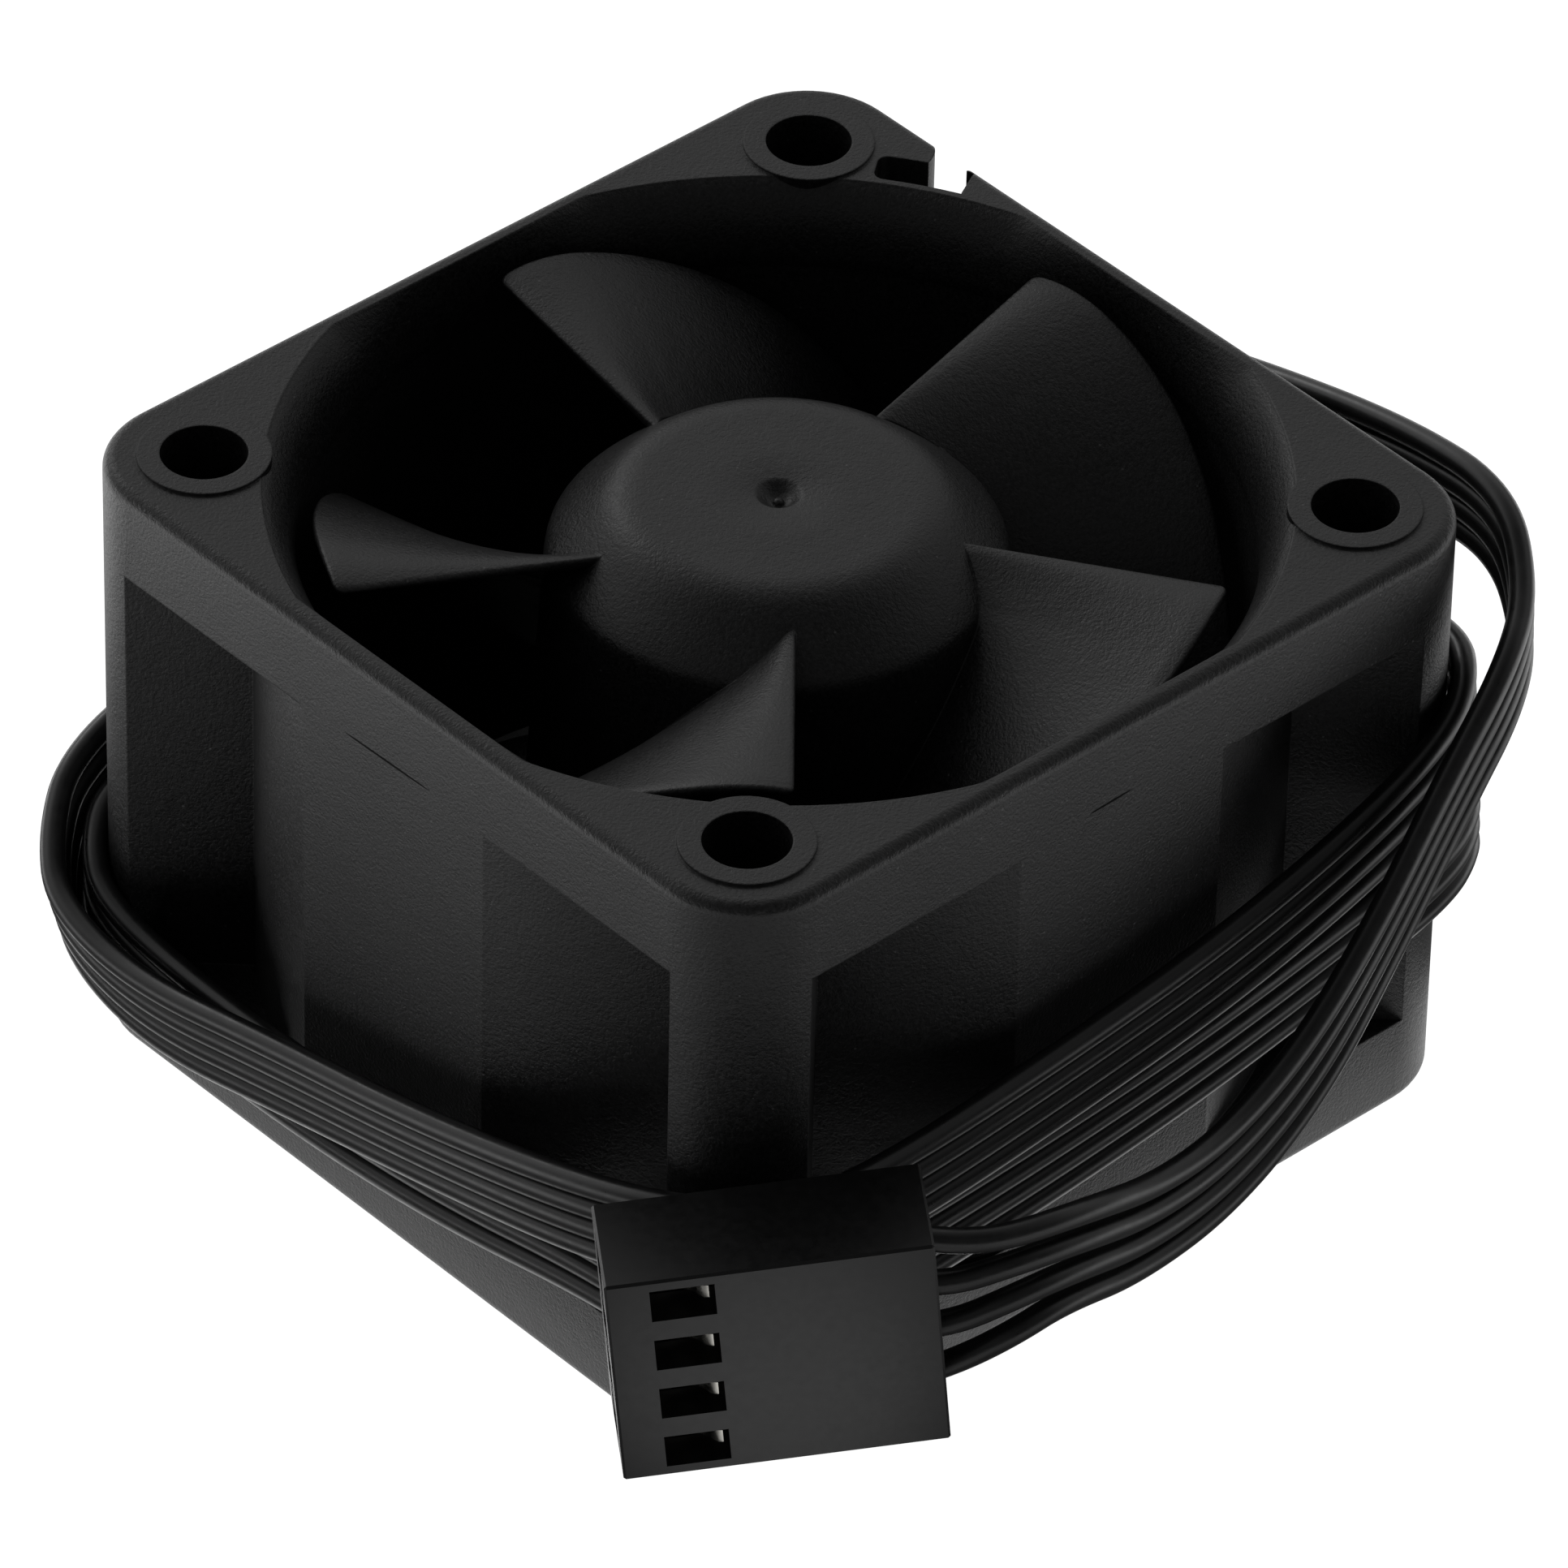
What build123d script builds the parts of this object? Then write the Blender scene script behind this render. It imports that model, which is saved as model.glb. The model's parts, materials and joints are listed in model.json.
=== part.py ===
from build123d import *
import math
import os

# 40 x 40 x 28 mm axial fan with a four-wire lead and a four-way 2.54 mm socket.
# Origin: centre of the frame's base.  +Z up: exhaust side down, intake side up.

os.makedirs("parts", exist_ok=True)

# ---------------------------------------------------------------- frame
W = 40.0                # side of the square frame
T = 28.0                # overall thickness
HOLE_PITCH = 32.0       # mounting holes, square pattern
HOLE_R = 1.75
CORNER_R = 4.0          # concentric with the holes
FLANGE_T = 4.25         # both flanges
FACE_Z = T - 0.12       # intake face; the hole bosses stand up to T
BOSS_R = 2.68
BARREL_R = 20.7         # outer barrel between the flanges, clipped to the square
BORE_R = 19.0
MOUTH_R = 20.35         # intake mouth, clipped by four flats
MOUTH_FLAT = 19.2
MOUTH_DEPTH = 3.6
WEB_W = 5.4             # corner posts between the flanges
EDGE_R = 0.55           # outer edge rounding
NOTCH_R0 = 20.75        # lead pocket in the flange
NOTCH_R1 = 22.2
NOTCH_X0, NOTCH_X1 = -11.5, -9.85

# ---------------------------------------------------------------- motor base
BASE_R = 11.6
BASE_Z0, BASE_Z1 = 0.5, 2.0
STRUT_W = 1.4
STRUT_Z1 = 3.6
EXIT_AZ = 118.1         # direction of the lead channel
CHANNEL_IN = 1.6        # clear width of the channel
CHANNEL_WALL = 0.7
CHANNEL_Z1 = 5.35

# ---------------------------------------------------------------- bearings
SHAFT_R = 1.0
BRG_R = 2.5             # 2 x 5 x 2.5 mm ball bearings
BRG_W = 2.5
BRG_LOW_Z = 2.7         # underside of the lower bearing
BRG_TOP_Z = 16.2        # underside of the upper bearing
BALL_R = 0.4
PITCH_R = 1.75
RACE_OUT = 2.0          # inner wall of the outer ring
RACE_IN = 1.5           # outer wall of the inner ring
TUBE_R = 3.3
TUBE_Z1 = 19.1

# ---------------------------------------------------------------- rotor
HUB_TOP = 27.3
HUB_FLAT_R = 5.3
HUB_R_TOP = 9.2         # at the crease under the shoulder
HUB_R_LOW = 10.2
HUB_LOW = 7.6
CAVITY_R = 8.65
YOKE_R = 8.62
MAG_R1, MAG_R0 = 7.92, 6.75
N_BLADES = 5
BLADE_TIP_R = 18.3
BLADE_AZ0 = 32.0        # leading tip of the first blade
BLADE_SPAN = 70.0       # wrap, clockwise from above
BLADE_STEPS = (0, 1, 3, 6, 9, 12, 16, 20, 24, 28, 32, 36, 40, 44, 48, 52, 56, 60, 65, 70)
BLADE_LEAN = 3.6        # the root leads the tip

# ---------------------------------------------------------------- stator
CORE_R = 6.4
CORE_Z0, CORE_Z1 = 10.4, 16.4
PCB_R = 9.3
PCB_Z0, PCB_Z1 = 2.43, 3.23

# ---------------------------------------------------------------- lead
WIRE_D = 1.04
WIRE_PITCH = 1.08
CONN_L, CONN_D, CONN_P = 12.67, 4.8, 10.16
PIN_PITCH = 2.54

# ribbon of four wires: centre (x, y, z), lean from upright in degrees, spread of the pitch.
# From the solder joints out through the lead channel, then clockwise from above round the frame.
RIBBON = [
    (-4.90, 9.17, 2.83, 0.0, 1.00), (-6.08, 11.38, 2.85, 0.0, 1.00), (-7.63, 14.29, 2.81, 0.0, 1.00),
    (-9.14, 17.11, 2.84, 0.0, 1.00), (-10.42, 19.52, 2.83, 0.0, 1.00), (-11.30, 21.30, 2.83, 0.0, 1.00),
    (-11.22, 23.45, 2.85, 0.0, 1.00), (-9.98, 25.27, 2.90, 0.0, 1.00), (-7.90, 26.17, 3.05, 0.0, 1.00),
    (-4.80, 26.02, 3.45, 0.0, 1.00), (0.20, 25.15, 4.45, 0.0, 1.00), (5.20, 24.00, 6.00, 0.0, 1.00),
    (9.70, 22.95, 7.95, 0.0, 1.00), (13.60, 22.15, 9.90, 0.0, 1.00), (17.38, 21.60, 11.75, -1.0, 1.00),
    (19.72, 19.72, 12.45, 1.2, 1.00), (20.92, 17.00, 12.12, 3.4, 1.00), (20.89, 12.20, 10.98, 3.6, 1.00),
    (20.83, 4.20, 9.41, 2.6, 1.00), (20.79, -4.20, 8.54, 0.7, 1.00), (20.76, -12.20, 8.11, -0.2, 1.00),
    (20.73, -17.27, 8.08, -0.2, 1.00), (19.45, -19.45, 8.09, 0.0, 1.00), (17.25, -20.66, 7.98, 0.3, 1.00),
    (12.20, -20.66, 7.55, 0.3, 1.00), (4.20, -20.83, 5.98, -0.1, 1.00), (-4.20, -20.79, 5.00, 0.1, 1.00),
    (-12.20, -20.82, 4.96, -0.5, 1.00), (-17.25, -20.66, 5.69, -1.0, 1.00), (-19.31, -19.31, 6.66, -1.3, 1.00),
    (-20.71, -17.26, 7.45, -0.5, 1.00), (-20.89, -12.20, 8.02, 0.1, 1.00), (-20.96, -4.20, 8.57, 0.2, 1.00),
    (-20.91, 4.20, 9.04, 0.1, 1.00), (-20.77, 12.20, 9.70, 0.0, 1.00), (-20.67, 17.25, 10.22, 0.0, 1.00),
    (-19.42, 19.42, 10.71, 0.0, 1.00), (-17.26, 20.70, 11.43, 0.0, 1.00), (-12.20, 20.86, 12.50, 0.0, 1.00),
    (-4.20, 21.08, 14.10, 0.2, 1.00), (4.20, 21.21, 15.85, 0.4, 1.00), (12.20, 21.17, 17.40, 0.6, 1.00),
    (17.33, 20.97, 18.15, 0.0, 1.00), (19.42, 19.42, 18.20, -1.4, 1.00), (20.85, 17.10, 17.50, -1.6, 1.00),
    (21.57, 12.20, 16.28, 1.3, 1.00), (21.72, 4.20, 14.37, 2.7, 1.00), (21.66, -4.20, 13.22, 3.1, 1.00),
    (21.79, -12.20, 12.67, 2.7, 1.00), (21.64, -17.51, 12.72, 1.1, 1.00), (19.99, -19.99, 12.68, 0.1, 1.00),
    (17.48, -21.53, 12.21, 2.7, 1.00), (12.20, -22.20, 10.83, 7.3, 1.00), (4.20, -22.17, 8.68, 12.8, 1.00),
    (-4.20, -22.20, 6.96, 11.1, 1.00), (-12.00, -22.64, 5.60, 11.4, 1.00), (-17.64, -22.13, 6.11, 15.5, 1.00),
    (-20.27, -20.27, 7.27, 9.7, 1.00), (-22.08, -17.63, 8.61, 5.8, 1.00), (-22.46, -12.20, 9.85, 4.5, 1.00),
    (-22.48, -4.20, 11.13, 2.1, 1.00), (-22.26, 4.20, 12.19, 0.2, 1.00), (-22.07, 12.20, 13.33, 0.1, 1.00),
    (-21.96, 17.60, 14.14, 0.0, 1.00), (-20.38, 20.38, 15.01, 0.0, 1.00), (-17.63, 22.10, 16.19, 0.1, 1.00),
    (-12.20, 22.33, 17.70, 0.3, 1.00), (-4.20, 22.68, 20.23, 0.6, 1.00), (4.20, 22.97, 22.50, 0.7, 1.00),
    (12.20, 23.00, 24.30, 0.2, 1.00), (17.76, 22.58, 24.95, -1.1, 1.00), (20.91, 20.90, 23.06, -2.1, 1.00),
    (23.04, 17.97, 22.11, 1.5, 1.00), (23.96, 14.20, 19.26, 6.1, 1.04), (25.13, 9.60, 15.33, 6.6, 1.07),
    (26.29, 4.70, 11.92, 2.6, 1.14), (27.20, -0.50, 10.26, 1.0, 1.18), (27.95, -5.60, 10.52, 3.5, 1.27),
    (28.70, -10.20, 12.19, 4.8, 1.38),
]
# height of each wire against its own cavity at the four stations behind the socket
STATIONS = [(15.6, 2.55), (13.5, 2.40), (11.4, 2.40), (9.75, 2.40)]
OFFSETS = [[1.50, 0.77, -0.03, -1.15], [0.62, 0.08, -0.43, -0.86], [0.05, 0.0, -0.1, -0.12], [0.0, 0.0, 0.0, 0.0]]
CONN_O = (21.50, -26.78, 5.43)      # socket: corner of the mating end
CONN_UP = (-0.025, -0.093, 0.995)
CONN_AX = (0.58, 0.81, 0.09)        # from the mating end to the wire end

nodes = {}


def node(name, shape):
    """Keep one named piece and write it out."""
    solids = list(shape.solids()) if not isinstance(shape, Solid) else [shape]
    body = solids[0] if len(solids) == 1 else Compound(children=solids)
    nodes[name] = body
    export_step(body, "parts/%s.step" % name)
    print("%-28s solids %d  volume %.2f" % (name, len(solids), sum(s.volume for s in solids)))
    return body


def ring(r1, r0, z0, z1):
    return Pos(0, 0, z0) * (Cylinder(r1, z1 - z0, align=(Align.CENTER, Align.CENTER, Align.MIN))
                            - Cylinder(r0, z1 - z0, align=(Align.CENTER, Align.CENTER, Align.MIN)))


def disc(r, z0, z1):
    return Pos(0, 0, z0) * Cylinder(r, z1 - z0, align=(Align.CENTER, Align.CENTER, Align.MIN))


def block(x0, x1, y0, y1, z0, z1):
    return Pos((x0 + x1) / 2, (y0 + y1) / 2, (z0 + z1) / 2) * Box(x1 - x0, y1 - y0, z1 - z0)


def turned(points):
    """Solid of revolution about Z from an (r, z) outline."""
    face = make_face(Polyline(*[(r, 0, z) for r, z in points], close=True))
    return revolve(face, axis=Axis.Z)


# ================================================================ frame
H = HOLE_PITCH / 2
prism = extrude(RectangleRounded(W, W, CORNER_R), FACE_Z)
prism = fillet(prism.edges().group_by(Axis.Z)[-1] + prism.edges().group_by(Axis.Z)[0], EDGE_R)

# the waist between the flanges: barrel and corner posts stay
keep = Rectangle(W, W) & Circle(BARREL_R)
for a in (45, 135):
    keep += Rot(0, 0, a) * Rectangle(80, WEB_W)
waist_cut = extrude(Rectangle(60, 60) - keep, T - 2 * FLANGE_T)
frame = prism - Pos(0, 0, FLANGE_T) * waist_cut

# bosses round the holes on the intake face
for sx in (-1, 1):
    for sy in (-1, 1):
        frame += Pos(sx * H, sy * H, T - FLANGE_T) * Cylinder(BOSS_R, FLANGE_T, align=(Align.CENTER, Align.CENTER, Align.MIN))

# the bore: straight, with a flared mouth clipped by four flats on both sides
clip = extrude(Rectangle(2 * MOUTH_FLAT, 2 * MOUTH_FLAT), T + 2)
bore = disc(BORE_R, -1, T + 1)
mouth_top = turned([(0, T - MOUTH_DEPTH), (BORE_R, T - MOUTH_DEPTH), (BORE_R + 0.10, T - 2.5), (BORE_R + 0.33, T - 1.6), (BORE_R + 0.68, T - 0.9),
                    (BORE_R + 1.10, T - 0.35), (MOUTH_R, T - 0.1), (MOUTH_R, T + 0.5), (0, T + 0.5)]) & clip
mouth_low = turned([(0, -0.5), (MOUTH_R, -0.5), (MOUTH_R - 0.15, 0.6), (BORE_R, 2.6), (0, 2.6)]) & (Pos(0, 0, -1) * clip)
bore = bore + mouth_top + mouth_low
bosses = Compound(children=[Pos(sx * H, sy * H, T - 2.6) * Cylinder(BOSS_R, 2.6, align=(Align.CENTER, Align.CENTER, Align.MIN)).solid()
                            for sx in (-1, 1) for sy in (-1, 1)])
frame = frame - bore
for b in bosses.solids():
    frame += b

# mounting holes
for sx in (-1, 1):
    for sy in (-1, 1):
        frame -= Pos(sx * H, sy * H, -1) * Cylinder(HOLE_R, T + 2, align=(Align.CENTER, Align.CENTER, Align.MIN))

# lead pocket and mouth in each flange, beside the back-left hole
sector = extrude(make_face(Polyline((0, 0), (40 * math.cos(math.radians(119)), 40 * math.sin(math.radians(119))),
                                    (40 * math.cos(math.radians(128)), 40 * math.sin(math.radians(128))), close=True)), T + 2)
pocket = ring(NOTCH_R1, NOTCH_R0, -1, T + 1) & (Pos(0, 0, -1) * sector)
lip = block(NOTCH_X0, NOTCH_X1, 17.0, 20.5, -1, T + 1) - disc(NOTCH_R0, -2, T + 2)
notch = pocket + lip
z0, z1 = -1, FLANGE_T + 0.01
frame -= notch & block(-16, -8, 15, 21, z0, z1)
# the rounded tip of the arm that holds the lead in
tip = block(NOTCH_X0 - 1.7, NOTCH_X0 + 0.1, 18.3, 20.2, z0, z1) - Pos(NOTCH_X0 - 1.7, 18.3, z0 - 1) * Cylinder(1.7, 40, align=(Align.CENTER, Align.CENTER, Align.MIN))
frame -= tip
# upper flange: a curved slot, a mouth narrowed by a hooked arm, and a rounded tip opposite
z0 = T - FLANGE_T - 0.01
polar = lambda r, a: (r * math.cos(math.radians(a)), r * math.sin(math.radians(a)))
slot = extrude(make_face(Polyline((0, 0), polar(40, 117.2), polar(40, 127.5), close=True)), FLANGE_T + 1) & ring(NOTCH_R1, 20.62, 0, FLANGE_T + 1)
slot = fillet([e for e in slot.edges().filter_by(Axis.Z) if e.center().X < -12.3], 0.45)
mouth = extrude(make_face(Polyline((-11.8, 16.6), (-11.8, 20.8), (-10.45, 20.8), (-10.45, 19.35), (-9.36, 18.3), (-9.36, 16.6), close=True)), FLANGE_T + 1) - disc(20.62, -1, FLANGE_T + 2)
frame -= Pos(0, 0, z0) * slot
frame -= Pos(0, 0, z0) * mouth
tip = block(-13.4, -11.7, 18.4, 20.3, 0, FLANGE_T + 1) - Pos(-13.4, 18.4, -1) * Cylinder(1.6, 40, align=(Align.CENTER, Align.CENTER, Align.MIN))
frame -= Pos(0, 0, z0) * tip

# motor base, struts and lead channel
base = disc(BASE_R, BASE_Z0, BASE_Z1)
for k in (1, 2, 3):
    a = EXIT_AZ + 90 * k
    base += Rot(0, 0, a) * block(BASE_R - 1.0, BORE_R + 0.6, -STRUT_W / 2, STRUT_W / 2, BASE_Z0, STRUT_Z1)
cw = CHANNEL_IN / 2
channel = block(10.1, BORE_R + 0.6, -cw - CHANNEL_WALL, cw + CHANNEL_WALL, 0.0, CHANNEL_Z1)
base += Rot(0, 0, EXIT_AZ) * channel
base += ring(TUBE_R + 1.0, TUBE_R + 0.01, BASE_Z1 - 0.01, PCB_Z0 - 0.03)
base += ring(8.9, 8.3, BASE_Z1 - 0.01, PCB_Z0 - 0.03)
frame += base
frame -= Rot(0, 0, EXIT_AZ) * block(9.9, 21.6, -cw, cw, 0.5, CHANNEL_Z1 + 0.1)
frame -= disc(TUBE_R, 1.2, 5.0)           # seat of the bearing tube
frame -= disc(2.4, -1, 5.0)               # shaft end, closed by the label
frame -= disc(10.9, -1, BASE_Z0 + 0.18)   # label recess
frame = frame.solids().sort_by(SortBy.VOLUME)[-1]
node("frame", frame)
node("label_disc", disc(10.7, BASE_Z0 + 0.03, BASE_Z0 + 0.17))

# ================================================================ bearing tube and bearings
tube = ring(TUBE_R - 0.01, BRG_R + 0.01, 1.21, TUBE_Z1) + ring(BRG_R + 0.1, 2.15, BRG_LOW_Z + BRG_W + 0.02, BRG_TOP_Z - 0.02)
tube += ring(BRG_R + 0.1, 2.1, 1.21, BRG_LOW_Z - 0.02)
node("bearing_tube", tube)

for tag, z in (("lower", BRG_LOW_Z), ("upper", BRG_TOP_Z)):
    groove = Pos(0, 0, z + BRG_W / 2) * Torus(PITCH_R, BALL_R + 0.02)
    outer = ring(BRG_R, RACE_OUT, z, z + BRG_W) - groove
    inner = ring(RACE_IN, SHAFT_R, z, z + BRG_W) - groove
    node(tag + "_bearing_outer_ring", outer)
    node(tag + "_bearing_inner_ring", inner)
    balls = [Pos(PITCH_R * math.cos(a), PITCH_R * math.sin(a), z + BRG_W / 2) * Sphere(BALL_R)
             for a in [2 * math.pi * k / 7 for k in range(7)]]
    node(tag + "_bearing_balls", Compound(children=[b.solid() for b in balls]))
    shields = [ring(RACE_OUT - 0.01, RACE_IN + 0.06, z + 0.1, z + 0.25), ring(RACE_OUT - 0.01, RACE_IN + 0.06, z + BRG_W - 0.25, z + BRG_W - 0.1)]
    node(tag + "_bearing_shields", Compound(children=[s.solid() for s in shields]))

# ================================================================ stator
core = ring(4.2, TUBE_R, CORE_Z0, CORE_Z1)
for k in range(4):
    a = 90 * k + 45
    core += Rot(0, 0, a) * block(4.0, 6.1, -0.75, 0.75, CORE_Z0, CORE_Z1)
    wedge = extrude(make_face(Polyline((0, 0), (20, 20 * math.tan(math.radians(36))), (20, -20 * math.tan(math.radians(36))), close=True)), CORE_Z1 - CORE_Z0)
    core += Rot(0, 0, a) * (ring(CORE_R, 5.75, CORE_Z0, CORE_Z1) & (Pos(0, 0, CORE_Z0) * wedge))
node("stator_core", core)

for tag, z0, z1 in (("lower", CORE_Z0 - 0.6, CORE_Z0), ("upper", CORE_Z1, CORE_Z1 + 0.6)):
    ins = ring(4.35, TUBE_R, z0, z1)
    lip0, lip1 = (z0 - 0.9, z1) if tag == "lower" else (z0, z1 + 0.9)
    for k in range(4):
        a = 90 * k + 45
        ins += Rot(0, 0, a) * block(4.2, 5.9, -0.9, 0.9, z0, z1)
        ins += Rot(0, 0, a) * block(5.72, 6.1, -2.3, 2.3, lip0, lip1)
    node(tag + "_insulator", ins)

coils = []
for k in range(4):
    a = 90 * k + 45
    outer = fillet(block(4.42, 5.38, -1.75, 1.75, CORE_Z0 - 1.35, CORE_Z1 + 1.35).edges().filter_by(Axis.X), 0.8)
    coil = outer - block(4.0, 6.0, -0.93, 0.93, CORE_Z0 - 0.63, CORE_Z1 + 0.63)
    coils.append((Rot(0, 0, a) * coil).solid())
node("stator_coils", Compound(children=coils))
pins = [Rot(0, 0, 90 * k) * Pos(5.35, 0, 0) * Pos(0, 0, PCB_Z0 - 0.3) * Cylinder(0.25, 7.4, align=(Align.CENTER, Align.CENTER, Align.MIN)) for k in range(4)]
carriers = [Rot(0, 0, 90 * k) * block(TUBE_R + 0.02, 5.9, -0.6, 0.6, CORE_Z0 - 1.6, CORE_Z0 - 0.62) for k in range(4)]
carriers = [c - p for c, p in zip(carriers, pins)]
node("pin_carriers", Compound(children=[c.solid() for c in carriers]))
node("winding_pins", Compound(children=[p.solid() for p in pins]))

# ================================================================ circuit board
pcb = ring(PCB_R, TUBE_R + 0.05, PCB_Z0, PCB_Z1)
for k in range(4):
    pcb -= Rot(0, 0, 90 * k) * Pos(5.35, 0, 0) * Cylinder(0.3, 20)
node("circuit_board", pcb)
node("driver_chip", (Rot(0, 0, 200) * block(5.3, 8.3, -1.9, 1.9, PCB_Z1 + 0.15, PCB_Z1 + 1.3)
                     + Compound(children=[(Rot(0, 0, 200) * block(5.6 + 0.8 * j, 5.9 + 0.8 * j, s * 1.9 - (0.7 if s < 0 else 0), s * 1.9 + (0.7 if s > 0 else 0), PCB_Z1, PCB_Z1 + 0.3)).solid()
                                          for j in range(4) for s in (-1, 1)]).solids()))
node("hall_sensor", Rot(0, 0, 22) * block(6.9, 8.2, -1.4, 1.4, PCB_Z1, PCB_Z1 + 1.1))
node("capacitors", Compound(children=[(Rot(0, 0, a) * block(6.2, 7.8, -0.9, 0.9, PCB_Z1, PCB_Z1 + 1.2)).solid() for a in (68, 290)]))
node("chip_resistors", Compound(children=[(Rot(0, 0, a) * block(7.0, 7.8, -0.8, 0.8, PCB_Z1, PCB_Z1 + 0.45)).solid() for a in (152, 246, 324)]))
node("polarity_diode", Rot(0, 0, 95) * block(6.6, 8.2, -0.75, 0.75, PCB_Z1, PCB_Z1 + 1.0))

# ================================================================ rotor
hub_out = [(0, HUB_TOP), (HUB_FLAT_R, HUB_TOP), (5.65, 27.285), (6.0, 27.23), (6.35, 27.12), (6.7, 26.94), (7.05, 26.68), (7.4, 26.38),
           (8.0, 25.85), (8.5, 25.38), (8.85, 25.02), (9.08, 24.74),
           (HUB_R_TOP, 24.5), (HUB_R_LOW, HUB_LOW), (CAVITY_R + 0.03, HUB_LOW), (CAVITY_R + 0.03, 23.9), (7.9, 24.8), (6.6, 25.8), (0, 25.8)]
hub = turned(hub_out)
hub += ring(3.2, 0.2, 23.62, 25.95)
hub -= disc(2.2, 20.0, 25.2)                                 # bushing flange seat
hub -= disc(SHAFT_R, 20.0, 26.3)                             # shaft bore
hub -= disc(0.42, 26.0, 27.5)
hub -= turned([(0, 26.85), (0.42, 26.85), (0.92, 27.31), (0, 27.31)])


def table(rows, d):
    """Smooth value from rows of (angle, value): piecewise cubic through the rows."""
    n = len(rows)
    k = max(i for i in range(n - 1) if d >= rows[i][0]) if d > rows[0][0] else 0
    def slope(i):
        a, b = max(0, i - 1), min(n - 1, i + 1)
        return (rows[b][1] - rows[a][1]) / (rows[b][0] - rows[a][0])
    (x0, y0), (x1, y1) = rows[k], rows[k + 1]
    h = x1 - x0
    t = (d - x0) / h
    return ((2 * t ** 3 - 3 * t * t + 1) * y0 + (t ** 3 - 2 * t * t + t) * h * slope(k)
            + (3 * t * t - 2 * t ** 3) * y1 + (t ** 3 - t * t) * h * slope(k + 1)), (y1 - y0) / h


# height of the upper surface against the angle behind the leading edge, at the tip and at the root
TIP_Z = [(0, 26.95), (3, 27.12), (7, 27.12), (12, 26.85), (20, 26.0), (30, 24.45), (40, 22.15), (50, 18.6), (60, 14.3), (70, 10.5)]
ROOT_Z = [(0, 26.3), (4, 26.15), (10, 25.55), (17, 24.7), (25, 23.4), (33, 21.85), (42, 20.0), (55, 17.1), (66, 14.5), (79, 11.6)]


def blade(az0):
    """One swept blade: radial sections every few degrees, clockwise from the leading edge."""
    sections = []
    for d in BLADE_STEPS:
        dr = d * (1 + 0.12 * (d / BLADE_SPAN) ** 2)
        zt, st = table(TIP_Z, d)
        zr, sr = table(ROOT_Z, dr)
        th_r = 0.50 + 0.30 * min(1.0, d / 15.0)
        th_t = 0.30 + 0.22 * min(1.0, d / 15.0)
        if d > 58:
            th_r -= 0.30 * (d - 58) / 12.0
            th_t -= 0.12 * (d - 58) / 12.0
        # a steeper blade is thicker when cut by a vertical plane
        vr = th_r * math.sqrt(1 + (sr * 180 / math.pi / 9.3) ** 2)
        vt = th_t * math.sqrt(1 + (st * 180 / math.pi / BLADE_TIP_R) ** 2)
        r_in = 7.3 + 1.65 * min(1.0, d / 15.0)
        r_tip = BLADE_TIP_R - (0.25 if d < 0.1 else 0.0)
        ai = math.radians(az0 + BLADE_LEAN - dr)
        at = math.radians(az0 - d)
        inner = (r_in * math.cos(ai), r_in * math.sin(ai))
        outer = (r_tip * math.cos(at), r_tip * math.sin(at))
        sections.append(Wire.make_polygon([(*inner, zr), (*outer, zt), (*outer, zt - vt), (*inner, zr - vr)], close=True))
    return Solid.make_loft(sections, True)


impeller = hub
for k in range(N_BLADES):
    impeller = impeller + blade(BLADE_AZ0 + 72 * k)
impeller = impeller.solids().sort_by(SortBy.VOLUME)[-1]
node("impeller", impeller)

yoke = ring(YOKE_R, 7.95, 7.9, 23.6) + ring(YOKE_R, 2.2, 22.9, 23.6)
node("rotor_yoke", yoke)
node("rotor_magnet", ring(MAG_R1, MAG_R0, 8.4, 18.6))
bushing = ring(1.95, SHAFT_R, 20.3, 22.9) + ring(2.2, SHAFT_R, 22.9, 25.2)
node("shaft_bushing", bushing)
shaft = disc(SHAFT_R, 1.35, 26.3) - ring(2, 0.72, 2.0, 2.36)
node("shaft", shaft)
clip = ring(1.9, 0.74, 2.03, 2.33) - block(-0.35, 0.35, 0, 3, 1.9, 2.5)
node("retaining_clip", clip)
node("preload_washer", turned([(1.05, 18.72), (1.45, 18.72), (1.9, 20.25), (1.6, 20.25)]))

# ================================================================ lead
def unit(v):
    n = math.sqrt(sum(c * c for c in v))
    return tuple(c / n for c in v)


def dot(a, b):
    return sum(p * q for p, q in zip(a, b))


def cross(a, b):
    return (a[1] * b[2] - a[2] * b[1], a[2] * b[0] - a[0] * b[2], a[0] * b[1] - a[1] * b[0])


def off(a, v, k):
    return tuple(p + q * k for p, q in zip(a, v))


CZ = unit(CONN_UP)
CX = unit(off(CONN_AX, CZ, -dot(CONN_AX, CZ)))
CY = cross(CZ, CX)


def conn(x, y, z):
    return off(off(off(CONN_O, CX, x), CY, y), CZ, z)


def wire_points(k):
    """Route of wire k, bottom wire 0 to top wire 3."""
    pts = []
    last = len(RIBBON) - 1
    for i, (x, y, z, lean, spread) in enumerate(RIBBON):
        a = RIBBON[max(0, i - 1)][:3]
        b = conn(STATIONS[0][0], 2.5, 4.7) if i == last else RIBBON[i + 1][:3]
        run = unit(off(b, a, -1))
        up = unit(off((0, 0, 1), run, -run[2]))
        out = cross(up, run)
        t = math.radians(lean)
        side = off(tuple(c * math.cos(t) for c in up), out, math.sin(t))
        pts.append(off((x, y, z), side, (k - 1.5) * WIRE_PITCH * spread))
    for (xl, yl), offs in zip(STATIONS, OFFSETS):
        pts.append(conn(xl, yl, CONN_P / 2 + (k - 1.5) * PIN_PITCH + offs[k]))
    return pts


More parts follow.
